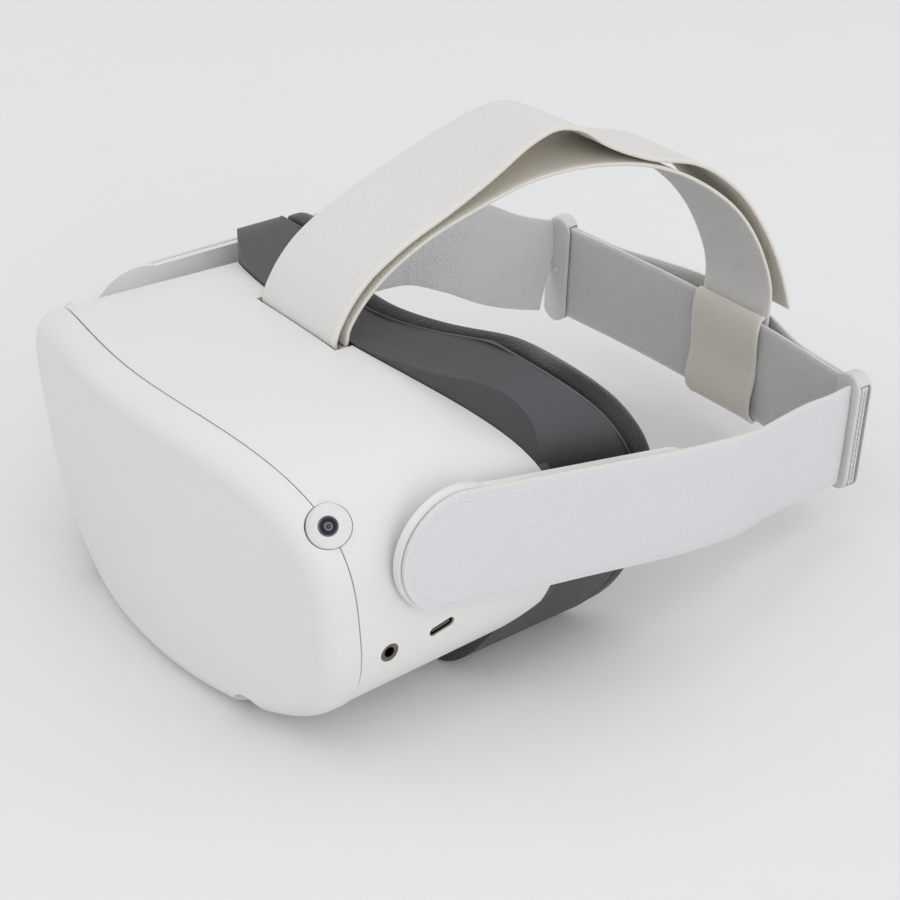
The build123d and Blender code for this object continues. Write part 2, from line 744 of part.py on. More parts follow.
for name, side, tilt, fall in sides:
    with BuildPart() as arm:
        with BuildSketch(arm_plane(side, arm_inner_x, tilt)):
            stiff_length = arm_length - strap_width / 2
            with Locations((stiff_length / 2, 0)):
                Rectangle(stiff_length, strap_width - 0.6)
            Circle(strap_width / 2 + 1.0)
            with Locations((stiff_length, 0)):
                Circle(strap_width / 2 - 0.3)
            Circle(pivot_radius + running, mode=Mode.SUBTRACT)
        extrude(amount=side * (arm_outer_x - arm_inner_x))
        with BuildSketch(arm_plane(side, arm_outer_x - 1.2, tilt)):
            Circle(pivot_head + 0.1)
        extrude(amount=side * 1.2, mode=Mode.SUBTRACT)
        with BuildSketch(arm_plane(side, arm_outer_x - speaker_size[2] - 0.1, tilt)):
            with Locations((speaker_reach, 0)):
                RectangleRounded(speaker_size[0] + 0.2, speaker_size[1] + 0.2, 2)
        extrude(amount=side * 5, mode=Mode.SUBTRACT)
        with BuildSketch(arm_plane(side, arm_inner_x - 1, tilt)):
            with Locations((speaker_reach, 0)):
                with GridLocations(0, 2.2, 1, 5):
                    SlotOverall(12, 1)
        extrude(amount=side * 2.5, mode=Mode.SUBTRACT)
    save(arm, f"arm_{name}")

    with BuildPart() as speaker:
        with BuildSketch(arm_plane(side, arm_outer_x - speaker_size[2], tilt)):
            with Locations((speaker_reach, 0)):
                RectangleRounded(speaker_size[0], speaker_size[1], 1.9)
        extrude(amount=side * (speaker_size[2] - 0.1))
    save(speaker, f"speaker_{name}")

    with BuildPart() as side_strap:
        with BuildSketch(Plane.XY.offset(-10)):
            with BuildLine():
                run_x = side * (strap_outer_x - strap_thick / 2)
                arm_end_y = seam_y + pivot_depth + arm_length
                straight = Line((run_x, seam_y + pivot_depth - 30), (run_x, arm_end_y))
                Spline(
                    straight @ 1,
                    (side * 87.4, seam_y + 188),
                    (side * 82.6, seam_y + 220),
                    (side * 81.2, seam_y + slider_depth - slider_size[1] / 2 - 1.2),
                    tangents=[(0, 1), (-side * 0.08, 1)],
                )
            trace(line_width=strap_thick)
        extrude(amount=130)
        add(strap_side_view(tilt, fall), mode=Mode.INTERSECT)
    save(side_strap, f"side_strap_{name}")

    # Buckle: a flat loop that both rear layers pass through.
    centre = band_plane.from_local_coords((side * slider_x, band_y(slider_x), 0))
    along = (band_plane.x_dir - Vector(0, side * band_slope, 0)).normalized()
    upward = band_plane.z_dir
    through = along.cross(upward)
    with BuildPart() as buckle:
        with BuildSketch(Plane(origin=centre, x_dir=along, z_dir=through)):
            RectangleRounded(slider_size[0], slider_size[2], slider_size[0] / 2 - 0.1)
        extrude(amount=slider_size[1] / 2, both=True)
        broad_faces = buckle.faces().filter_by(GeomType.PLANE).sort_by(SortBy.AREA)[-2:]
        fillet(broad_faces.edges(), 1.0)
        with BuildSketch(Plane(origin=centre, x_dir=through, z_dir=along)):
            Rectangle(slider_slot[1], slider_slot[0])
        extrude(amount=slider_size[0], both=True, mode=Mode.SUBTRACT)
    save(buckle, f"buckle_{name}")

# Rear band: an inner layer, and an outer layer that stands away behind it.
band_end = slider_x + slider_size[0] / 2 - 1
layer_offset = band_thick / 2 + 0.2
for name, layer, bulge in (("inner", -1, 0.0), ("outer", 1, band_bulge)):
    shift = layer * layer_offset
    with BuildPart() as rear_band:
        with BuildSketch(band_plane.offset(-band_width / 2)):
            with BuildLine():
                for side in (-1, 1):
                    Line(
                        (side * band_end, band_y(band_end) + shift),
                        (side * band_straight_x, band_y(band_straight_x) + shift),
                    )
                edge_y = band_y(band_straight_x) + shift
                rise = band_slope * band_straight_x / 2
                Spline(
                    (-band_straight_x, edge_y),
                    (0, edge_y + rise + bulge),
                    (band_straight_x, edge_y),
                    tangents=[(1, band_slope), (1, -band_slope)],
                )
            trace(line_width=band_thick)
        extrude(amount=band_width)
    save(rear_band, f"rear_band_{name}")


def crown_plan():
    """The top strap's outline seen from above, as an upright block."""
    half = crown_width / 2
    with BuildPart(mode=Mode.PRIVATE) as plan:
        with BuildSketch(Plane.XY.offset(-10)):
            with BuildLine():
                near, far = [
                    Spline(
                        (front_x, seam_y + 40),
                        (front_x, seam_y + 140),
                        (rear_x, seam_y + rear_depth),
                        (rear_x, seam_y + 280),
                        tangents=[(0, 1), (0, 1)],
                    )
                    for front_x, rear_x, rear_depth in (
                        (half, crown_rear_near, 244),
                        (-half, crown_rear_far, 240),
                    )
                ]
                Line(near @ 1, far @ 1)
                Line(near @ 0, far @ 0)
            make_face()
        extrude(amount=200)
    return plan.part


def strip_along(curve, width, samples=60):
    """A face of even width that follows a curve, ready to add to a sketch."""
    near = []
    far = []
    for step in range(samples + 1):
        place = curve.position_at(step / samples)
        heading = curve.tangent_at(step / samples)
        across = Vector(-heading.Y, heading.X) * (width / 2)
        near.append(place + across)
        far.append(place - across)
    with BuildSketch(Plane.XY, mode=Mode.PRIVATE) as strip:
        with BuildLine():
            near_edge = Spline(*near)
            far_edge = Spline(*far)
            Line(near_edge @ 0, far_edge @ 0)
            Line(near_edge @ 1, far_edge @ 1)
        make_face()
    return strip.sketch


# Top strap: one long strip. It loops round the inner rear band, runs forward over
# the head, turns round the strap bar, and comes back on top of itself to a free end.
inner_face_y = band_y(band_straight_x) + band_slope * band_straight_x / 2 - layer_offset - 0.5
wrap = band_thick / 2 + strap_thick / 2 + 0.85
wrap_bottom = band_z - band_width / 2 - 1.0
wrap_top = band_z + band_width / 2
turn_radius = bar_radius + strap_thick / 2 + 0.3
bar_y = seam_y + bar_depth
with BuildPart() as top_strap:
    with BuildSketch(Plane.YZ.offset(-40)):
        with BuildLine():
            front_y = inner_face_y - wrap
            back_y = inner_face_y + wrap
            hem = ThreePointArc(
                (inner_face_y + 0.6, wrap_top + 1.5),
                (front_y + 0.6, wrap_top + 1.1),
                (front_y, wrap_top),
            )
            front_run = Line(hem @ 1, (front_y, wrap_bottom))
            under = ThreePointArc(
                front_run @ 1,
                (inner_face_y, wrap_bottom - wrap),
                (back_y, wrap_bottom),
            )
            back_run = Line(under @ 1, (back_y, wrap_bottom + 25))
            loop = ThreePointArc(
                (bar_y + turn_radius, bar_z),
                (bar_y, bar_z - turn_radius),
                (bar_y - turn_radius, bar_z),
            )
        trace(line_width=strap_thick)
        lower_layer = Edge.make_spline(
            [back_run @ 1]
            + [Vector(seam_y + depth, z) for depth, z in top_strap_lower_path]
            + [loop @ 0]
        )
        upper_layer = Edge.make_spline(
            [loop @ 1] + [Vector(seam_y + depth, z) for depth, z in top_strap_upper_path]
        )
        add(strip_along(lower_layer, strap_thick))
        add(strip_along(upper_layer, strap_thick))
    extrude(amount=80)
    add(crown_plan(), mode=Mode.INTERSECT)
save(top_strap, "top_strap")


# Facial interface: a stiff frame that plugs into the back of the visor, and a foam pad.
def face_outline(inset, samples=72):
    """The interface's outline seen from behind, moved inwards by inset."""
    right_half = [(-x, z) for x, z in reversed(face_points[1:-1])]
    rim = Edge.make_spline([Vector(*point) for point in face_points + right_half], periodic=True)
    points = []
    for step in range(samples):
        place = rim.position_at(step / samples)
        heading = rim.tangent_at(step / samples)
        points.append((place.X + inset * heading.Y, place.Y - inset * heading.X))
    return points


def face_ring(outer_inset, inner_inset):
    with BuildSketch(Plane.XY, mode=Mode.PRIVATE) as ring:
        with BuildLine():
            Spline(*face_outline(outer_inset), periodic=True)
        make_face()
        with BuildLine():
            Spline(*face_outline(inner_inset), periodic=True)
        make_face(mode=Mode.SUBTRACT)
    return ring.sketch


def ahead_of_temples(offset):
    """All the space in front of the face-fitting surface as it is seen from the side."""
    bottom_z = -20.0
    top_z = 124.0
    with BuildPart(mode=Mode.PRIVATE) as space:
        with BuildSketch(Plane.YZ.offset(-110)):
            with BuildLine():
                levels = [bottom_z + (top_z - bottom_z) * step / 9 for step in range(10)]
                rearmost_y = seam_y + temple_depth + offset
                temple = Spline(*[(rearmost_y - temple_fall * (z - temple_z) ** 2, z) for z in levels])
                Polyline(temple @ 1, (seam_y, top_z), (seam_y, bottom_z), temple @ 0)
            make_face()
        extrude(amount=220)
    return space.part


def ahead_of_face(offset):
    """All the space in front of the surface that fits the face, moved by offset."""
    reach = 110.0
    with BuildPart(mode=Mode.PRIVATE) as space:
        with BuildSketch(Plane.XY.offset(-20)):
            with BuildLine():
                xs = [reach * (step / 5 - 1) for step in range(11)]
                middle_y = seam_y + face_depth + offset
                brow = Spline(*[(x, middle_y + face_crown * x**2) for x in xs])
                Polyline(brow @ 1, (reach, seam_y), (-reach, seam_y), brow @ 0)
            make_face()
        extrude(amount=160)
        add(ahead_of_temples(offset), mode=Mode.INTERSECT)
    return space.part


def face_block(outer_inset, inner_inset, front_depth):
    """A ring-shaped wall along Y, from a depth to well behind the face."""
    with BuildPart(mode=Mode.PRIVATE) as block:
        with BuildSketch(at_depth(front_depth)):
            add(face_ring(outer_inset, inner_inset))
        extrude(amount=-(face_depth + 70 - front_depth))
    return block.part


def foam_seat():
    """The flange that carries the foam, right behind the foam's front face."""
    with BuildPart(mode=Mode.PRIVATE) as seat:
        add(face_block(face_wall / 2, foam_width, seat_start))
        add(ahead_of_face(-foam_thick), mode=Mode.INTERSECT)
        add(ahead_of_face(-foam_thick - face_flange), mode=Mode.SUBTRACT)
    return seat.part


def frame_web():
    """The plate that stands behind the housing's rear edge, open for the eyes and nose."""
    with BuildPart(mode=Mode.PRIVATE) as web:
        with BuildSketch(at_depth(seat_start)):
            add(face_ring(0, foam_width))
            add(visor_oval(taper_depth, part_gap))
            with BuildLine():
                Spline(*face_outline(foam_width), periodic=True)
            make_face(mode=Mode.SUBTRACT)
            nose_cut(nose_half, nose_top)
        extrude(amount=-60)
        add(behind_rear_edge(part_gap + web_thick), mode=Mode.SUBTRACT)
    return web.part


def frame_collar():
    """The oval collar that plugs into the back of the housing, open at the nose."""
    outer_inset = wall + collar_gap
    with BuildPart(mode=Mode.PRIVATE) as collar:
        with BuildSketch(at_depth(collar_depth)):
            add(visor_oval(taper_depth, outer_inset))
            add(visor_oval(taper_depth, outer_inset + face_wall), mode=Mode.SUBTRACT)
            nose_cut(collar_nose_half, collar_nose_top)
        extrude(amount=-50)
        add(behind_rear_edge(part_gap + 1), mode=Mode.SUBTRACT)
    return collar.part


def nose_cut(half_width, top_z):
    """Cuts the nose's wedge out of the sketch being drawn."""
    foot_half = half_width + 0.55 * top_z
    Polygon(
        (-foot_half, -5),
        (foot_half, -5),
        (half_width, top_z),
        (-half_width, top_z),
        align=None,
        mode=Mode.SUBTRACT,
    )


with BuildPart() as facial_frame:
    add(face_block(0, face_wall, seat_start))
    add(ahead_of_face(-foam_thick), mode=Mode.INTERSECT)
    add(foam_seat())
    add(frame_web())
    add(behind_rear_edge(part_gap), mode=Mode.INTERSECT)
    add(frame_collar())
    # clearance round the strap bar and the strap's loop
    with BuildSketch(Plane.XY.offset(visor_mid_z + 45)):
        with Locations((0, seam_y + bar_depth)):
            Rectangle(2 * slot_half_width + 1, 2 * (bar_radius + strap_thick + 3 * part_gap))
    extrude(amount=20, mode=Mode.SUBTRACT)
save(facial_frame, "facial_frame")

with BuildPart() as face_foam:
    add(face_block(0, foam_width, rear_edge_depth))
    add(ahead_of_face(0), mode=Mode.INTERSECT)
    add(ahead_of_face(-foam_thick), mode=Mode.SUBTRACT)
save(face_foam, "face_foam")
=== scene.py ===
import math

import bmesh
import bpy
from mathutils import Matrix, Vector
from mathutils.geometry import interpolate_bezier


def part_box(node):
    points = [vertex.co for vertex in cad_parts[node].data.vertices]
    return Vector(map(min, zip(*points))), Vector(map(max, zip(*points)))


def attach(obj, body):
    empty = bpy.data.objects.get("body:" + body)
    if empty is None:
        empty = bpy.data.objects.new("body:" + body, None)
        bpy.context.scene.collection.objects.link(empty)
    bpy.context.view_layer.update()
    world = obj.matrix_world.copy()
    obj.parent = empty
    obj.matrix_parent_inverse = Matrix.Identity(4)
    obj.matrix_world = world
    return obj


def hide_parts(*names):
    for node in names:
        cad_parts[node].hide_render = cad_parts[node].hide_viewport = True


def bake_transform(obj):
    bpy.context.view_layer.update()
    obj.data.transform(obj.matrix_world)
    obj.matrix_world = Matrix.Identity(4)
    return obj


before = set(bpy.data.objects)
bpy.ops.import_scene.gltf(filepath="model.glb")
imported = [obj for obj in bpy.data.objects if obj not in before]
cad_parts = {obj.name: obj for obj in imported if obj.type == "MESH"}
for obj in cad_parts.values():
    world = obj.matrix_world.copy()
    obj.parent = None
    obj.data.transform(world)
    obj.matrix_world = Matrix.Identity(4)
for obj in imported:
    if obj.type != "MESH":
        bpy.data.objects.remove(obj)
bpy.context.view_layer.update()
mm = 0.001


# Studio. A pale sweep of paper lies under the headset, inside a tent of soft white
# light. The camera looks down at the wearer's left front corner of the visor.
camera_azimuth = math.radians(52.509)
camera_elevation = math.radians(30.55)
camera_roll = math.radians(0.45)
camera_distance = 0.6239
camera_aim = Vector((0.02506, -0.02207, 0.05146))

back = Vector((
    math.sin(camera_azimuth) * math.cos(camera_elevation),
    -math.cos(camera_azimuth) * math.cos(camera_elevation),
    math.sin(camera_elevation),
))
right = Vector((math.cos(camera_azimuth), math.sin(camera_azimuth), 0))
turn = Matrix((right, back.cross(right), back)).transposed() @ Matrix.Rotation(camera_roll, 3, "Z")
camera_data = bpy.data.cameras.new("camera")
camera_data.lens = 74.42
camera_data.sensor_width = 36
camera_data.clip_start = 0.01
camera = bpy.data.objects.new("camera", camera_data)
camera.matrix_world = Matrix.Translation(camera_aim + back * camera_distance) @ turn.to_4x4()
bpy.context.collection.objects.link(camera)
bpy.context.scene.camera = camera
bpy.context.scene.view_settings.view_transform = "Standard"

world = bpy.data.worlds.new("tent")
world.use_nodes = True
world.node_tree.nodes["Background"].inputs["Color"].default_value = (0.98, 0.985, 1, 1)
world.node_tree.nodes["Background"].inputs["Strength"].default_value = 0.86
bpy.context.scene.world = world


def soft_light(name, place, size, power, aim=(0, 0, 0.05)):
    """A square area light that faces the object."""
    data = bpy.data.lights.new(name, "AREA")
    data.size = size
    data.energy = power
    light = bpy.data.objects.new(name, data)
    heading = Vector(aim) - Vector(place)
    turned = heading.to_track_quat("-Z", "Y").to_matrix().to_4x4()
    light.matrix_world = Matrix.Translation(place) @ turned
    bpy.context.collection.objects.link(light)


soft_light("overhead", (0.2, -0.1, 1.6), 1.6, 2.5)
soft_light("front_left", (-1.1, -1.3, 1.0), 1.2, 3)
soft_light("beside", (1.7, -0.3, 0.7), 1.3, 7)
soft_light("rear", (0.6, 1.5, 1.1), 1.2, 1.5)


class Shade:
    """A value in a material's node tree. Sums on it add Math nodes, and node() adds any other."""

    def __init__(self, tree, socket=None):
        self.tree = tree
        self.socket = socket

    def node(self, kind, settings=None, inputs=None, output=0):
        """A new node of any kind, with its settings made first, as a value."""
        made = self.tree.nodes.new(kind)
        for name, value in (settings or {}).items():
            if name == "stops":
                first, *middle, last = value
                ramp = made.color_ramp.elements
                ramp[0].position, ramp[0].color = first
                ramp[1].position, ramp[1].color = last
                for place, colour in middle:
                    ramp.new(place).color = colour
            else:
                setattr(made, name, value)
        for name, value in (inputs or {}).items():
            self.feed(made.inputs[name], value)
        return Shade(self.tree, made.outputs[output])

    def feed(self, socket, value):
        if isinstance(value, Shade):
            self.tree.links.new(value.socket, socket)
        else:
            socket.default_value = value

    def maths(self, operation, *values):
        return self.node("ShaderNodeMath", {"operation": operation}, dict(enumerate(values)))

    def __add__(self, other):
        return self.maths("ADD", self, other)

    def __sub__(self, other):
        return self.maths("SUBTRACT", self, other)

    def __rsub__(self, other):
        return self.maths("SUBTRACT", other, self)

    def __mul__(self, other):
        return self.maths("MULTIPLY", self, other)

    def __truediv__(self, other):
        return self.maths("DIVIDE", self, other)

    __radd__ = __add__
    __rmul__ = __mul__

    def mix(self, low, high):
        """One colour where this value is 0, and another where it is 1."""
        return self.node("ShaderNodeMix", {"data_type": "RGBA"}, {0: self, 6: low, 7: high}, 2)

    def rise(self, low, high):
        """0 below low, 1 above high, and smooth between them."""
        return self.node(
            "ShaderNodeMapRange",
            {"interpolation_type": "SMOOTHSTEP"},
            {"Value": self, "From Min": low, "From Max": high},
        )

    def noise(self, place, scale, detail=2.0):
        return self.node("ShaderNodeTexNoise", None, {"Vector": place, "Scale": scale, "Detail": detail})

    def bump(self, shader, height, depth):
        """Gives the surface a relief whose highest points stand depth metres out."""
        normal = self.node("ShaderNodeBump", None, {"Height": height, "Distance": depth})
        self.feed(shader.inputs["Normal"], normal)


def new_finish(name, **constants):
    finish = bpy.data.materials.new(name)
    finish.use_nodes = True
    shader = finish.node_tree.nodes["Principled BSDF"]
    for socket, value in constants.items():
        shader.inputs[socket.replace("_", " ")].default_value = value
    return finish, shader, Shade(finish.node_tree)


def tinted(colour, factor):
    return (*(min(channel * factor, 1) for channel in colour), 1)


def moulded(name, colour, roughness=0.5, relief=0.00003, grain=2600, tone=0.03, **constants):
    """Moulded plastic with a fine spark-eroded grain and a slightly uneven tone."""
    finish, shader, ink = new_finish(name, **constants)
    place = ink.node("ShaderNodeTexCoord", output="Object")
    fine = ink.noise(place, grain, 3)
    broad = ink.noise(place, 22, 4)
    cloud = ink.noise(place, grain / 6, 2)
    shades = (broad * 0.6 + fine * 0.4).mix(tinted(colour, 1 - tone), tinted(colour, 1 + tone))
    ink.feed(shader.inputs["Base Color"], shades)
    ink.feed(shader.inputs["Roughness"], roughness + (cloud - 0.5) * 0.16)
    ink.bump(shader, fine * 0.7 + cloud * 0.3, relief)
    return finish


def dress(finish, *nodes):
    """Gives CAD nodes their finish."""
    for name in nodes:
        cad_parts[name].material_slots[0].material = finish


floor_mesh = bmesh.new()
bmesh.ops.create_grid(floor_mesh, x_segments=1, y_segments=1, size=4)
floor_data = bpy.data.meshes.new("paper_sweep")
floor_mesh.to_mesh(floor_data)
floor = bpy.data.objects.new("paper_sweep", floor_data)
floor_data.materials.append(
    moulded("pale_paper", (0.765, 0.765, 0.765), 0.75, relief=0.0004, grain=60, tone=0.012)
)
bpy.context.collection.objects.link(floor)


# Visor shell. The front cover and the housing are moulded in a pale warm grey
# plastic with a fine matt grain, and meet at a crowned seam with a dark gap.
shell_colour = (0.715, 0.712, 0.700)
cover_finish = moulded("cover_plastic", shell_colour, 0.47)
housing_finish = moulded("housing_plastic", tinted(shell_colour, 1.01)[:3], 0.52)
dress(cover_finish, "front_cover")
dress(housing_finish, "visor_housing")


# Cameras. Each sits in a pale round bezel, flush with the corner of the visor: a
# dark rim, a stepped black cone and a small domed lens under a navy coating.
bezel_finish = moulded("bezel_plastic", (0.70, 0.70, 0.69), 0.42)
camera_aims = {"upper": (0.65, -0.50, 0.57), "lower": (0.15, -0.72, -0.68)}
camera_steps = [
    (0.0, -1.02), (0.28, -1.06), (0.5, -1.2), (0.62, -1.42), (0.78, -1.42), (0.86, -1.2), (1.08, -1.12),
    (1.16, -1.3), (1.5, -1.0), (1.56, -0.86), (1.98, -0.62), (2.04, -0.5), (2.44, -0.3), (2.5, -0.12),
    (2.96, -0.02), (3.04, -0.2), (3.04, -4.0), (0.0, -4.0),
]
camera_lens_radius = 3.04 * mm
lens_finish, lens_shader, lens_ink = new_finish(
    "camera_glass", Roughness=0.16, Coat_Weight=1.0, Coat_Roughness=0.03, Specular_IOR_Level=0.7
)
lens_from_axis = lens_ink.node(
    "ShaderNodeSeparateXYZ", None, {0: lens_ink.node("ShaderNodeUVMap", {"uv_map": "ring"})}
)
lens_rings = lens_from_axis.node(
    "ShaderNodeValToRGB",
    {
        "stops": [
            (0.0, (0.004, 0.005, 0.012, 1)),
            (0.17, (0.012, 0.016, 0.045, 1)),
            (0.23, (0.004, 0.004, 0.008, 1)),
            (0.27, (0.20, 0.21, 0.25, 1)),
            (0.34, (0.16, 0.17, 0.22, 1)),
            (0.38, (0.006, 0.006, 0.010, 1)),
            (0.60, (0.010, 0.012, 0.026, 1)),
            (0.66, (0.035, 0.037, 0.05, 1)),
            (0.80, (0.010, 0.010, 0.014, 1)),
            (0.86, (0.07, 0.07, 0.075, 1)),
            (1.0, (0.030, 0.030, 0.032, 1)),
        ]
    },
    {0: lens_from_axis / camera_lens_radius},
)
lens_ink.feed(lens_shader.inputs["Base Color"], lens_rings)
lens_grain = lens_ink.noise(lens_ink.node("ShaderNodeTexCoord", output="Object"), 4200)
lens_ink.bump(lens_shader, lens_grain, 0.000004)


def finish_mesh(name, mesh, *finishes):
    """Turns a bmesh into a smooth object with its finishes."""
    data = bpy.data.meshes.new(name)
    mesh.to_mesh(data)
    mesh.free()
    for polygon in data.polygons:
        polygon.use_smooth = True
    for finish in finishes:
        if finish:
            data.materials.append(finish)
    piece = bpy.data.objects.new(name, data)
    bpy.context.collection.objects.link(piece)
    return piece


def turned(profile, centre, aim, steps=48):
    """A bmesh spun from (radius, height) points in millimetres round an axis, with radius as its U."""
    mesh = bmesh.new()
    points = [mesh.verts.new((radius * mm, 0, height * mm)) for radius, height in profile]
    edges = [mesh.edges.new(pair) for pair in zip(points, points[1:])]
    bmesh.ops.spin(
        mesh,
        geom=points + edges,
        axis=(0, 0, 1),
        cent=(0, 0, 0),
        steps=steps,
        angle=2 * math.pi,
        use_merge=True,
    )
    bmesh.ops.remove_doubles(mesh, verts=mesh.verts, dist=1e-6)
    bmesh.ops.recalc_face_normals(mesh, faces=mesh.faces)
    rings = mesh.loops.layers.uv.new("ring")
    for face in mesh.faces:
        for corner in face.loops:
            corner[rings].uv = (corner.vert.co.xy.length, corner.vert.co.z)
    facing = Vector(aim).to_track_quat("Z", "Y").to_matrix().to_4x4()
    bmesh.ops.transform(mesh, matrix=Matrix.Translation(centre) @ facing, verts=mesh.verts)
    return mesh


def middle(node):
    low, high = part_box(node)
    return (low + high) / 2


lens_sink = 3.5 * mm
for level, aim in camera_aims.items():
    for side_name, side in (("left", 1), ("right", -1)):
        outward = Vector((side * aim[0], aim[1], aim[2])).normalized()
        node = f"camera_lens_{level}_{side_name}"
        face = middle(node) + outward * lens_sink
        eye = finish_mesh(
            f"camera_eye_{level}_{side_name}", turned(camera_steps, face, outward), lens_finish
        )
        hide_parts(node)
        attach(eye, "visor")
        dress(bezel_finish, f"camera_bezel_{level}_{side_name}")


# Seam lip. The housing's top wall reaches forward to the leaning seam with a thin lip,
# moulded in one with it, so the gap to the front cover stays the same all along.
seam_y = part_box("visor_housing")[0].y
seam_crown = 0.0027
seam_flattening = 9.4e-8
seam_lean = 0.0685
seam_half_gap = 0.3
visor_half_width = 90.9
visor_half_height = 51.8
outline_power = 2.93
seam_lip_half = 34
seam_lip_rear = seam_y + 0.05 * mm
seam_lip_least = 0.02 * mm
wall_thick = 2 * mm
lip_sheet = bmesh.new()
bmesh.ops.create_grid(lip_sheet, x_segments=60, y_segments=3, size=0.5)
for vert in lip_sheet.verts:
    x = 2 * vert.co.x * seam_lip_half
    share = (1 - abs(x / visor_half_width) ** outline_power) ** (1 / outline_power)
    z = visor_half_height * (1 + share) * mm
    depth = seam_crown * x**2 - seam_flattening * x**4 - seam_lean * visor_half_height * share
    front_y = min(seam_y + (depth + seam_half_gap) * mm, seam_lip_rear - seam_lip_least)
    y = front_y + (seam_lip_rear - front_y) * (vert.co.y + 0.5)
    vert.co = Vector((x * mm, y, z))
bmesh.ops.solidify(lip_sheet, geom=list(lip_sheet.faces), thickness=wall_thick)
bmesh.ops.recalc_face_normals(lip_sheet, faces=lip_sheet.faces)
seam_lip = finish_mesh("seam_lip", lip_sheet, housing_finish)
for polygon in seam_lip.data.polygons:
    polygon.use_smooth = False
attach(seam_lip, "visor")


# Electronics inside the visor. They are black mouldings, a green laminate board, an
# extruded aluminium heat sink and a cast chassis, held with small steel screws.
inner_black = moulded("inner_plastic", (0.018, 0.018, 0.020), 0.5, relief=0.00005)
dress(inner_black, "fan_housing", "fan_rotor", "lens_barrel_left", "lens_barrel_right")
dress(inner_black, "spacing_pinion", "rack_left", "rack_right", "rear_shroud")
dress(inner_black, "speaker_left", "speaker_right")
dress(moulded("battery_wrap", (0.02, 0.021, 0.024), 0.33, relief=0.0001, grain=500), "battery")
dress(moulded("board_laminate", (0.008, 0.06, 0.025), 0.35, grain=900, tone=0.2), "main_board")


def metal(name, colour, roughness, streak=(1, 1, 12)):
    """Machined or drawn metal, whose fine scratches run one way."""
    finish, shader, ink = new_finish(name, Metallic=1.0)
    place = ink.node("ShaderNodeTexCoord", output="Object")
    run = ink.node("ShaderNodeMapping", None, {"Vector": place, "Scale": streak})
    scratches = ink.noise(run, 900, 4)
    stain = ink.noise(place, 60, 3)
    ink.feed(shader.inputs["Base Color"], stain.mix(tinted(colour, 0.86), tinted(colour, 1.08)))
    ink.feed(shader.inputs["Roughness"], roughness + (scratches - 0.5) * 0.25)
    ink.bump(shader, scratches, 0.00001)
    return finish


dress(metal("heat_metal", (0.62, 0.62, 0.63), 0.35), "heat_sink")
dress(metal("chassis_metal", (0.36, 0.36, 0.38), 0.5, streak=(3, 3, 3)), "mid_chassis")
steel_finish = metal("steel", (0.50, 0.49, 0.47), 0.3, streak=(12, 1, 1))
dress(steel_finish, "board_screws", "rail_upper", "rail_lower", "rocker_pin", "strap_bar")
dress(steel_finish, "pivot_pin_left", "pivot_pin_right")
port_finish = metal("port_metal", (0.20, 0.17, 0.13), 0.34)
dress(port_finish, "headphone_jack", "charging_port")
gloss_black = moulded("display_glass", (0.006, 0.006, 0.009), 0.10, relief=0.000003, Coat_Weight=0.6)
dress(gloss_black, "display_panel", "proximity_window")


# Eye lenses. Each is a clear moulding with fine stepped rings on its rear face,
# pressed into its barrel, and shows the dark display through it.
eye_lens_radius = 21 * mm
lens_ring_pitch = 0.55 * mm
for side_name in ("left", "right"):
    finish, shader, ink = new_finish(
        f"eye_lens_{side_name}", Roughness=0.06, Transmission_Weight=0.55, IOR=1.49, Coat_Weight=0.8
    )
    centre = middle(f"lens_{side_name}")
    place = ink.node(
        "ShaderNodeVectorMath",
        {"operation": "SUBTRACT"},
        {0: ink.node("ShaderNodeTexCoord", output="Object"), 1: (centre.x, 0, centre.z)},
    )
    flat = ink.node("ShaderNodeVectorMath", {"operation": "MULTIPLY"}, {0: place, 1: (1, 0, 1)})
    radius = ink.node("ShaderNodeVectorMath", {"operation": "LENGTH"}, {0: flat}, "Value")
    steps = radius.maths("FRACT", radius / lens_ring_pitch)
    ink.bump(shader, steps * 0.6 + ink.noise(place, 3000) * 0.05, 0.00003)
    ink.feed(
        shader.inputs["Base Color"],
        (radius / eye_lens_radius).rise(0.0, 1.0).mix((0.10, 0.11, 0.15, 1), (0.05, 0.055, 0.075, 1)),
    )
    dress(finish, f"lens_{side_name}")


# Buttons and the status light. The keys are the shell's plastic with a silkier grain,
# and the light pipe is frosted.
key_finish = moulded("key_plastic", (0.66, 0.66, 0.65), 0.38, grain=1800)
dress(key_finish, "power_button", "volume_rocker")
dress(moulded("light_pipe", (0.82, 0.82, 0.80), 0.3, Coat_Weight=0.4), "status_light")


# Arms. Each is a stiff pale plastic paddle on the pivot, and shows as a thin rim round
# the rounded front end of the side strap that covers it.
arm_finish = moulded("arm_plastic", (0.74, 0.74, 0.73), 0.45)
dress(arm_finish, "arm_left", "arm_right")


def smooth_path(points, step):
    """Evenly spaced points, in metres, on a smooth curve through a few points in millimetres."""
    knots = [Vector(point) * mm for point in points]
    knots = [knots[0] * 2 - knots[1], *knots, knots[-1] * 2 - knots[-2]]

    def heading(before, here, after):
        first, second = here - before, after - here
        return (first.normalized() * second.length + second.normalized() * first.length) / (
            first.length + second.length
        )

    dense = []
    for before, start, end, after in zip(knots, knots[1:], knots[2:], knots[3:]):
        reach = (end - start).length / 3
        leave = start + heading(before, start, end) * reach
        arrive = end - heading(start, end, after) * reach
        dense += interpolate_bezier(start, leave, arrive, end, 32)[:-1]
    dense.append(knots[-2])
    walked = [0.0]
    for start, end in zip(dense, dense[1:]):
        walked.append(walked[-1] + (end - start).length)
    count = max(2, round(walked[-1] / (step * mm)))
    path, index = [], 0
    for number in range(count + 1):
        target = walked[-1] * number / count
        while index < len(walked) - 2 and walked[index + 1] < target:
            index += 1
        share = (target - walked[index]) / (walked[index + 1] - walked[index])
        path.append(dense[index].lerp(dense[index + 1], share))
    return path, walked[-1]


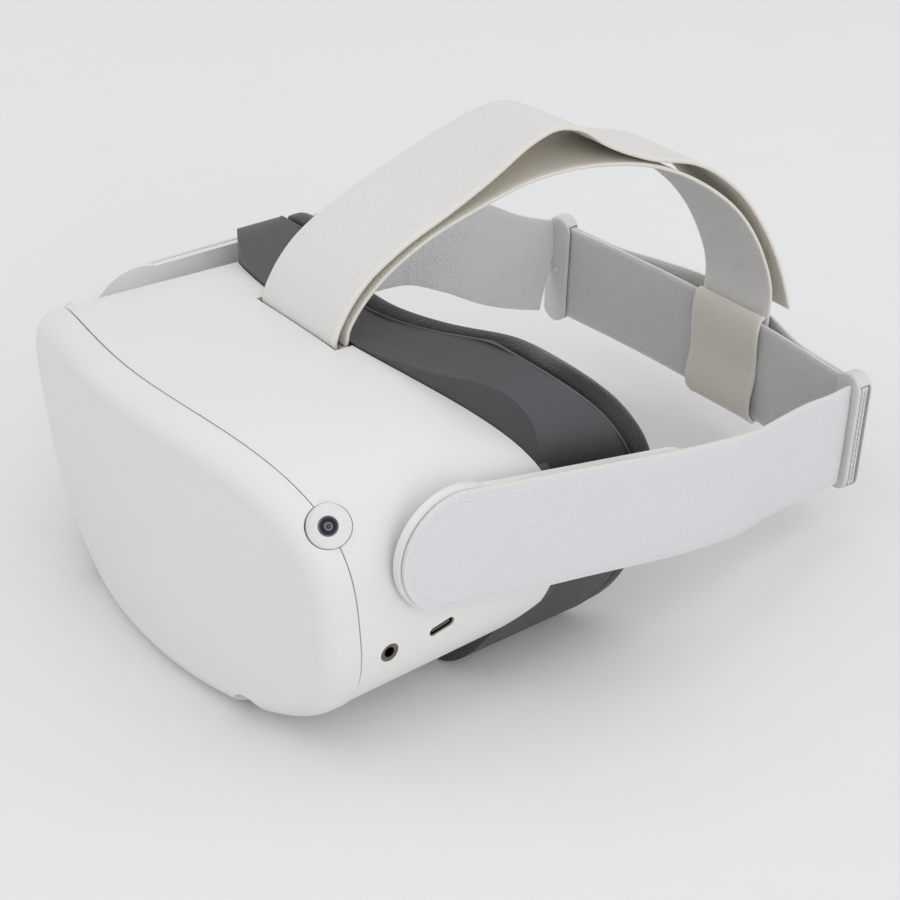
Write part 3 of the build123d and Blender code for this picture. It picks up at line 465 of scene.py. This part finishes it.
def on_path(path, share):
    """The point and the heading at a share of the way along an evenly spaced path."""
    spot = min(max(share, 0.0), 1.0) * (len(path) - 1)
    index = min(int(spot), len(path) - 2)
    before = path[max(index - 1, 0)]
    after = path[min(index + 2, len(path) - 1)]
    return path[index].lerp(path[index + 1], spot - index), (after - before).normalized()


def cloth_strip(name, across, along, place, flat, finishes, thickness):
    """A strip of webbing from a grid, with a UV map in metres, a woven thickness and round edges."""
    mesh = bmesh.new()
    bmesh.ops.create_grid(mesh, x_segments=across, y_segments=along, size=0.5)
    weave = mesh.loops.layers.uv.new("cloth")
    for face in mesh.faces:
        for corner in face.loops:
            corner[weave].uv = flat(corner.vert.co.x + 0.5, corner.vert.co.y + 0.5)
    for vert in mesh.verts:
        vert.co = place(vert.co.x + 0.5, vert.co.y + 0.5)
    bmesh.ops.remove_doubles(mesh, verts=mesh.verts, dist=1e-6)
    piece = finish_mesh(name, mesh, *finishes)
    wall = piece.modifiers.new("thickness", "SOLIDIFY")
    wall.thickness = thickness
    wall.offset = 0
    wall.material_offset = len(finishes) - 1
    wall.use_even_offset = True
    edge = piece.modifiers.new("edge", "BEVEL")
    edge.width = thickness * 0.3
    edge.segments = 2
    edge.limit_method = "ANGLE"
    edge.angle_limit = math.radians(60)
    return piece


def woven(name, light, dark, relief, weave, edge_tint=None, roughness=0.85, fuzz=0.25):
    """Webbing. weave(ink, across, along) gives its relief, its edge mask and its stitch mask."""
    finish, shader, ink = new_finish(name, Sheen_Weight=0.22, Sheen_Roughness=0.45, Specular_IOR_Level=0.25)
    cloth = ink.node("ShaderNodeUVMap", {"uv_map": "cloth"})
    across = ink.node("ShaderNodeSeparateXYZ", None, {0: cloth}, "X")
    along = ink.node("ShaderNodeSeparateXYZ", None, {0: cloth}, "Y")
    height, edge, stitch = weave(ink, across, along)
    place = ink.node("ShaderNodeTexCoord", output="Object")
    fluff = ink.noise(place, 2400, 3)
    wear = ink.noise(place, 30, 4)
    tone = (height * (1 - fuzz) + fluff * fuzz) * 0.85 + wear * 0.15
    colour = tone.mix((*dark, 1), (*light, 1))
    if edge_tint:
        colour = (edge * 0.75).mix(colour, (*edge_tint, 1))
    colour = (stitch * 0.8).mix(colour, tinted(light, 1.12))
    ink.feed(shader.inputs["Base Color"], colour)
    ink.feed(shader.inputs["Roughness"], roughness + (fluff - 0.5) * 0.2)
    ink.bump(shader, height * 0.8 + fluff * 0.3 + stitch * 1.2, relief)
    return finish


# Side straps. Each is elastic webbing in a fine herringbone with a cream edge, sewn
# over its arm round the front end, and runs back to the buckle behind the head.
strap_width = 39.2 * mm
strap_thick = 1.3 * mm
herringbone_pitch = 1.1 * mm
herringbone_stripe = 2.4 * mm
seam_inset = 3.0 * mm
stitch_length = 2.6 * mm


def herringbone(ink, across, along):
    """Zigzag ribs, with a plain edge and a line of stitches that follow the rounded end."""
    zigzag = across.maths("PINGPONG", across + 0.1, herringbone_stripe / 2)
    ribs = ink.maths("SINE", (along + zigzag * 0.9) * (2 * math.pi / herringbone_pitch)) * 0.5 + 0.5
    yarn = ink.maths("SINE", across * (2 * math.pi / (herringbone_stripe / 4))) * 0.5 + 0.5
    tip = ink.maths("MINIMUM", along - strap_width / 2, 0.0)
    inset = strap_width / 2 - ink.maths("SQRT", across * across + tip * tip)
    edge = 1 - inset.rise(0.3 * mm, 1.1 * mm)
    line = 1 - ink.maths("ABSOLUTE", inset - seam_inset).rise(0.12 * mm, 0.32 * mm)
    turn = ink.maths("ARCTAN2", across, tip - 1e-6) * (strap_width / 2 - seam_inset)
    dashes = ink.maths("SINE", (turn + along * 0.3) * (2 * math.pi / stitch_length)).rise(-0.5, 0.1)
    near_tip = 1 - along.rise(44 * mm, 46 * mm)
    return ribs * 0.7 + yarn * 0.3, edge, line * dashes * near_tip


side_finish = woven(
    "side_webbing", (0.73, 0.73, 0.745), (0.60, 0.60, 0.615), 0.00016, herringbone, (0.72, 0.70, 0.65)
)
pivot = middle("pivot_pin_left")
strap_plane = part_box("side_strap_left")[1].x - strap_thick / 2
# run of each strap behind its arm: how far behind the pivot, above it, and in from the arm
strap_runs = {
    "left": [
        (51, -9.7, 0), (101, -19.2, 0), (124, -23.6, -2.6),
        (142, -26.7, -7.6), (158, -29.0, -11.2), (173, -30.3, -12.3),
    ],
    "right": [
        (51, 0, 0), (101, 0, 0), (124, -1.2, -2.6),
        (142, -8.0, -7.6), (158, -16.5, -11.2), (173, -22.4, -12.3),
    ],
}
strap_ends = {"left": (183.5, -30.7, -13.5), "right": (183.5, -25.4, -13.5)}
strap_rows = 90
tip_rows = 14
strap_crown = 0.35 * mm
for side_name, side in (("left", 1), ("right", -1)):
    runs = strap_runs[side_name]
    first = Vector((runs[1][0], runs[1][1], 0)).normalized() * (strap_width / 2 / mm)
    knots = [(-first.x, -first.y, 0), (0, 0, 0), *runs, strap_ends[side_name]]
    path, length = smooth_path(
        [
            (side * (strap_plane / mm + inward), pivot.y / mm + behind, pivot.z / mm + above)
            for behind, above, inward in knots
        ],
        2.0,
    )
    tip_share = strap_width / 2 / length

    def strap_share(v, tip_share=tip_share):
        """Rows crowd together in the rounded end."""
        row = v * strap_rows
        if row < tip_rows:
            return tip_share * (1 - math.cos(math.pi / 2 * row / tip_rows))
        return tip_share + (1 - tip_share) * (row - tip_rows) / (strap_rows - tip_rows)

    def strap_half(share, length=length):
        tip = min(share * length - strap_width / 2, 0)
        return math.sqrt(max((strap_width / 2) ** 2 - tip**2, 0))

    def strap_place(u, v, path=path, side=side):
        share = strap_share(v)
        spot, heading = on_path(path, share)
        upward = Vector((0, -heading.z, heading.y)).normalized()
        across = (2 * u - 1) * strap_half(share)
        crown = strap_crown * (1 - (across / (strap_width / 2)) ** 4)
        return spot + upward * across + Vector((side, 0, 0)) * crown

    def strap_flat(u, v, length=length):
        share = strap_share(v)
        return ((2 * u - 1) * strap_half(share), share * length)

    strap = cloth_strip(
        f"side_webbing_{side_name}", 12, strap_rows, strap_place, strap_flat, [side_finish], strap_thick
    )
    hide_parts(f"side_strap_{side_name}")
    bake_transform(strap)


# Buckles. Each is a flat moulded loop in satin pale grey, with a pip on its side, and
# both layers of the rear band pass through it.
buckle_finish = moulded("buckle_plastic", (0.62, 0.61, 0.595), 0.36, grain=1500)
pip_steps = [(0, 0.75), (0.7, 0.62), (1.1, 0.25), (1.2, -0.3), (0, -0.3)]
buckle_half_depth = 3.3 * mm
for side_name, side in (("left", 1), ("right", -1)):
    node = f"buckle_{side_name}"
    dress(buckle_finish, node)
    low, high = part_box(node)
    centre = (low + high) / 2
    pip = finish_mesh(
        f"buckle_pip_{side_name}",
        turned(
            pip_steps, (centre.x, centre.y - buckle_half_depth, centre.z), (-0.1 * side, -1, 0), steps=24
        ),
        buckle_finish,
    )
    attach(pip, f"strap_buckle_{side_name}")


# Rear band. One long loop of ribbed elastic: an inner layer against the head and an
# outer layer that bows away behind it, with smooth selvages top and bottom.
band_width = 40 * mm
band_thick = 1.2 * mm
rib_pitch = 1.3 * mm


def ribbed(ink, across, along):
    """Slanted ribs made of small bumps, between two smooth selvages."""
    slant = ink.maths("SINE", (along + across * 0.55) * (2 * math.pi / rib_pitch)) * 0.5 + 0.5
    bumps = ink.maths("SINE", (across - along * 0.2) * (2 * math.pi / (0.9 * mm))) * 0.5 + 0.5
    inset = band_width / 2 - ink.maths("ABSOLUTE", across)
    edge = 1 - inset.rise(1.2 * mm, 1.9 * mm)
    weave = slant * 0.6 + bumps * 0.4
    return weave * (1 - edge * 0.7) + edge * 0.4, edge, across * 0


band_finish = woven(
    "band_webbing", (0.66, 0.655, 0.65), (0.50, 0.495, 0.49), 0.0002, ribbed, (0.68, 0.67, 0.66)
)
band_low, band_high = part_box("rear_band_inner")
band_centre = (band_low + band_high) / 2
band_end = band_high.x
band_lean = math.radians(1.5)
band_bow_x = 50 * mm
band_slope = 0.1
band_rows = 90
# how far along, and what share of its bow, the outer layer reaches between its straights
band_bow = [(31 * mm, 0.52), (13 * mm, 0.93)]
for layer in ("inner", "outer"):
    low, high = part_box(f"rear_band_{layer}")
    end_y = low.y + band_thick / 2
    rise = band_slope * (band_end - band_bow_x)
    peak_y = high.y - band_thick / 2
    straight_y = end_y + rise
    half_knots = [(band_end, end_y), (67 * mm, end_y + rise / 2), (band_bow_x, straight_y)]
    if layer == "outer":
        half_knots += [(x, straight_y + (peak_y - straight_y) * share) for x, share in band_bow]
    knots = [(-x, y) for x, y in half_knots] + [(0, peak_y)] + [(x, y) for x, y in reversed(half_knots)]
    path, length = smooth_path([(x / mm, y / mm, 0) for x, y in knots], 2.0)

    def band_place(u, v, path=path):
        spot, _ = on_path(path, v)
        across = (0.5 - u) * band_width
        return Vector((
            spot.x * math.cos(band_lean) + across * math.sin(band_lean),
            spot.y,
            band_centre.z - spot.x * math.sin(band_lean) + across * math.cos(band_lean),
        ))

    band = cloth_strip(
        f"band_webbing_{layer}",
        10,
        band_rows,
        band_place,
        lambda u, v, length=length: ((0.5 - u) * band_width, v * length),
        [band_finish],
        band_thick,
    )
    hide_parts(f"rear_band_{layer}")
    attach(band, "head_strap")


# Top strap. One strip of ribbed webbing with a looped pile inside. It is sewn round
# the rear band, runs over the head, turns round the strap bar and fastens on itself.
crown_thick = 1.3 * mm
crown_half = 21 * mm
crown_near = 31.2 * mm
crown_far = -3 * mm
crown_pitch = 1.25 * mm
bar = middle("strap_bar")
wrap_gap = 2.1
band_y = band_high.y / mm - 1.1
band_foot = band_centre.z / mm - 21
band_head = band_centre.z / mm + 20
hem = [(band_y + 0.6, band_head + 1.5), (band_y - wrap_gap + 0.6, band_head + 1.1)]
wrap = [
    (band_y - wrap_gap, band_head - 1), (band_y - wrap_gap, band_foot + 20), (band_y - wrap_gap, band_foot),
    (band_y, band_foot - wrap_gap), (band_y + wrap_gap, band_foot), (band_y + wrap_gap, band_foot + 25),
]
# points behind and above the strap bar
crown_lower = [
    (183.7, -43.8), (184.0, -30.8), (177.4, -12.8), (164.9, 5.7), (149.4, 19.2), (128.4, 30.7), (104.4, 36.4),
    (79.4, 37.2), (53.4, 32.7), (29.4, 25.4), (13.4, 16.2), (5.9, 8.7), (2.8, 3.7),
]
crown_turn = [(2.15, 0), (0, -2.15), (-2.15, 0)]
crown_upper = [
    (-1.6, 3), (1.6, 9.2), (8.9, 17.7), (23.4, 26.6), (42.9, 34.2), (63.4, 42.2), (79.4, 48.4), (89.4, 50.4),
    (98.4, 48.2), (107.4, 42), (123.4, 34.6), (144.4, 28.6), (162.4, 15.7), (176.9, -2.3), (187.9, -21.8),
    (194.9, -39.8),
]
over_bar = [
    (bar.y / mm + behind, bar.z / mm + above) for behind, above in crown_lower + crown_turn + crown_upper
]
crown_path, crown_length = smooth_path([(0, y, z) for y, z in hem + wrap + over_bar], 1.5)
turn_index = min(
    range(len(crown_path)), key=lambda index: (crown_path[index] - Vector((0, bar.y, bar.z))).length
)
turn_share = turn_index / (len(crown_path) - 1)
crest_y = bar.y + 90 * mm


def crown_weave(ink, across, along):
    """Fine slanted ribs with smooth selvages, and a row of stitches across the free end."""
    slant = ink.maths("SINE", (along - across * 0.8) * (2 * math.pi / crown_pitch)) * 0.5 + 0.5
    cross = ink.maths("SINE", across * (2 * math.pi / (0.85 * mm))) * 0.5 + 0.5
    inset = ink.maths("ABSOLUTE", across)
    edge = inset.rise(crown_half - 1.7 * mm, crown_half - 1.1 * mm)
    from_end = crown_length - along
    row = 1 - ink.maths("ABSOLUTE", from_end - 5 * mm).rise(0.2 * mm, 0.45 * mm)
    dashes = ink.maths("SINE", across * (2 * math.pi / (2.4 * mm))).rise(-0.6, 0.0)
    return slant * 0.55 + cross * 0.45, edge, row * dashes


def pile(ink, across, along):
    """Matted loops with no ribs."""
    tufts = ink.noise(ink.node("ShaderNodeUVMap", {"uv_map": "cloth"}), 1500, 4)
    clumps = ink.noise(ink.node("ShaderNodeUVMap", {"uv_map": "cloth"}), 420, 3)
    inset = ink.maths("ABSOLUTE", across)
    edge = inset.rise(crown_half - 2.4 * mm, crown_half - 1.6 * mm)
    return tufts * 0.6 + clumps * 0.4, edge, across * 0


crown_finish = woven(
    "top_webbing", (0.755, 0.745, 0.72), (0.63, 0.62, 0.595), 0.00018, crown_weave, (0.74, 0.72, 0.68)
)
pile_finish = woven(
    "top_strap_pile", (0.80, 0.765, 0.685), (0.58, 0.54, 0.47), 0.0005, pile, (0.72, 0.70, 0.64), 0.95, 0.5
)


def eased(value):
    value = min(max(value, 0.0), 1.0)
    return value * value * (3 - 2 * value)


def crown_place(u, v):
    spot, heading = on_path(crown_path, v)
    drift = eased((spot.y - bar.y - 70 * mm) / (115 * mm))
    near = crown_half + (crown_near - crown_half) * drift
    far = -crown_half + (crown_far + crown_half) * drift
    x = near + (far - near) * u
    height = spot.z
    y = spot.y
    if v > turn_share:
        crest = math.exp(-(((spot.y - crest_y) / (26 * mm)) ** 2))
        lean = x - (near + far) / 2
        height += 0.11 * lean * crest
        y -= 0.16 * lean * crest
    normal = Vector((0, -heading.z, heading.y))
    crown = 0.25 * mm * (1 - (2 * u - 1) ** 4)
    return Vector((x, y, height)) + normal * crown


def crown_flat(u, v):
    return ((1 - 2 * u) * crown_half, v * crown_length)


crown = cloth_strip(
    "crown_webbing", 12, 300, crown_place, crown_flat, [pile_finish, crown_finish], crown_thick
)
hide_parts("top_strap")
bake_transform(crown)


# Facial interface. A stiff frame in dark grey plastic with a coarse spark-eroded grain
# plugs into the visor and carries the foam pad.
interface_finish = moulded(
    "interface_plastic", (0.052, 0.053, 0.058), 0.5, relief=0.00012, grain=1700, tone=0.22,
    Specular_IOR_Level=0.6,
)
dress(interface_finish, "facial_frame")
# half of the interface's outline seen from behind, from the forehead to the nose
face_points = [
    (0, 101.5), (30, 102), (60, 103), (75, 101.5), (82, 94), (84, 80), (83.5, 55), (81, 28), (74, 9),
    (62, 0.8), (50, 1.0), (36, 5.5), (26, 14), (17, 25), (8.5, 32), (0, 34),
]
face_depth = 90
face_crown = 0.0075
temple_depth = 140.5
temple_z = 45
temple_fall = 0.0101
face_blend = 2.5
section_girth = 45 * mm
face_outline = face_points + [(-x, z) for x, z in reversed(face_points[:-1])]
rim_path, rim_length = smooth_path([(x, 0, z) for x, z in face_outline], 1.5)


def face_y(x, z):
    """Where the face-fitting surface stands, with the brow and the temples run into each other."""
    brow = face_depth + face_crown * (x / mm) ** 2
    temple = temple_depth - temple_fall * (z / mm - temple_z) ** 2
    nearer = math.exp(-brow / face_blend) + math.exp(-temple / face_blend)
    return seam_y - face_blend * math.log(nearer) * mm


def round_the_face(name, profile, around, along, finish):
    """A closed ring swept round the interface. profile(share) gives how far in from the rim a
    point lies and how far in front of the face-fitting surface."""
    mesh = bmesh.new()
    bmesh.ops.create_grid(mesh, x_segments=around, y_segments=along, size=0.5)
    cloth = mesh.loops.layers.uv.new("cloth")
    for face in mesh.faces:
        for corner in face.loops:
            u, v = corner.vert.co.x + 0.5, corner.vert.co.y + 0.5
            corner[cloth].uv = (u * section_girth, v * rim_length)
    for vert in mesh.verts:
        inwards, forwards = profile(vert.co.x + 0.5)
        spot, heading = on_path(rim_path, vert.co.y + 0.5)
        inner = Vector((heading.z, 0, -heading.x)).normalized()
        x, z = (spot + inner * inwards).xz
        vert.co = Vector((x, face_y(x, z) - forwards, z))
    bmesh.ops.remove_doubles(mesh, verts=mesh.verts, dist=2e-5)
    bmesh.ops.recalc_face_normals(mesh, faces=mesh.faces)
    return finish_mesh(name, mesh, finish)


# Lip. A thin bead closes the frame's rear edge, right in front of the foam.
lip_radius = 0.55 * mm
foam_thick = 9.5 * mm


def lip_profile(share):
    turn = 2 * math.pi * share
    return lip_radius * (0.5 - math.cos(turn)), foam_thick + lip_radius * (1 + math.sin(turn))


lip_finish = moulded("lip_plastic", (0.085, 0.086, 0.092), 0.42, relief=0.00004, grain=1700, tone=0.1)
lip = round_the_face("frame_lip", lip_profile, 10, 260, lip_finish)
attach(lip, "facial_interface")


# Foam pad. A soft charcoal foam with a brushed fabric face, cut to fit the face and
# bonded to the frame's flange. It is crowned and swells a little between its edges.
foam_width = 13 * mm
foam_bulge = 0.8 * mm
foam_corner = 0.55
swell_pressure = 4
swell_frames = 20


def foam_profile(share):
    """A fat rounded section whose front is flat on the flange."""
    turn = 2 * math.pi * share
    wide = math.copysign(abs(math.cos(turn)) ** foam_corner, math.cos(turn))
    deep = math.copysign(abs(math.sin(turn)) ** foam_corner, math.sin(turn))
    return foam_width * (0.5 + 0.49 * wide), min(foam_thick * (0.5 + 0.52 * deep), foam_thick)


foam = round_the_face("foam_pad", foam_profile, 28, 240, None)


def apply_modifiers(piece):
    """Makes a piece's modifiers part of its mesh."""
    depsgraph = bpy.context.evaluated_depsgraph_get()
    depsgraph.update()
    made = bpy.data.meshes.new_from_object(piece.evaluated_get(depsgraph))
    piece.modifiers.clear()
    piece.data = made


foam_rest = [vert.co.copy() for vert in foam.data.vertices]
swell = foam.modifiers.new("swell", "CLOTH")
swell.settings.use_pressure = True
swell.settings.uniform_pressure_force = swell_pressure
swell.settings.effector_weights.gravity = 0
swell.point_cache.frame_start = 1
swell.point_cache.frame_end = swell_frames
for number in range(1, swell_frames + 1):
    bpy.context.scene.frame_set(number)
apply_modifiers(foam)
bpy.context.scene.frame_set(1)
for vert, rest in zip(foam.data.vertices, foam_rest):
    moved = vert.co - rest
    if moved.length > foam_bulge:
        vert.co = rest + moved.normalized() * foam_bulge
foam_skin = foam.modifiers.new("skin", "SUBSURF")
foam_skin.levels = 1
foam_skin.render_levels = 1
apply_modifiers(foam)
for polygon in foam.data.polygons:
    polygon.use_smooth = True
foam_finish, foam_shader, foam_ink = new_finish(
    "interface_foam", Sheen_Weight=0.35, Sheen_Roughness=0.5, Specular_IOR_Level=0.2
)
foam_place = foam_ink.node("ShaderNodeTexCoord", output="Object")
nap = foam_ink.noise(foam_place, 1500, 4)
cells = foam_ink.node(
    "ShaderNodeTexVoronoi", None, {"Vector": foam_place, "Scale": 900}, "Distance"
)
patch = foam_ink.noise(foam_place, 45, 3)
foam_ink.feed(
    foam_shader.inputs["Base Color"],
    (nap * 0.5 + patch * 0.5).mix((0.014, 0.0135, 0.0135, 1), (0.036, 0.035, 0.035, 1)),
)
foam_ink.feed(foam_shader.inputs["Roughness"], 0.86 + nap * 0.12)
foam_ink.bump(foam_shader, nap * 0.6 + cells * 0.5, 0.00025)
foam.data.materials.append(foam_finish)
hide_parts("face_foam")
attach(foam, "facial_interface")
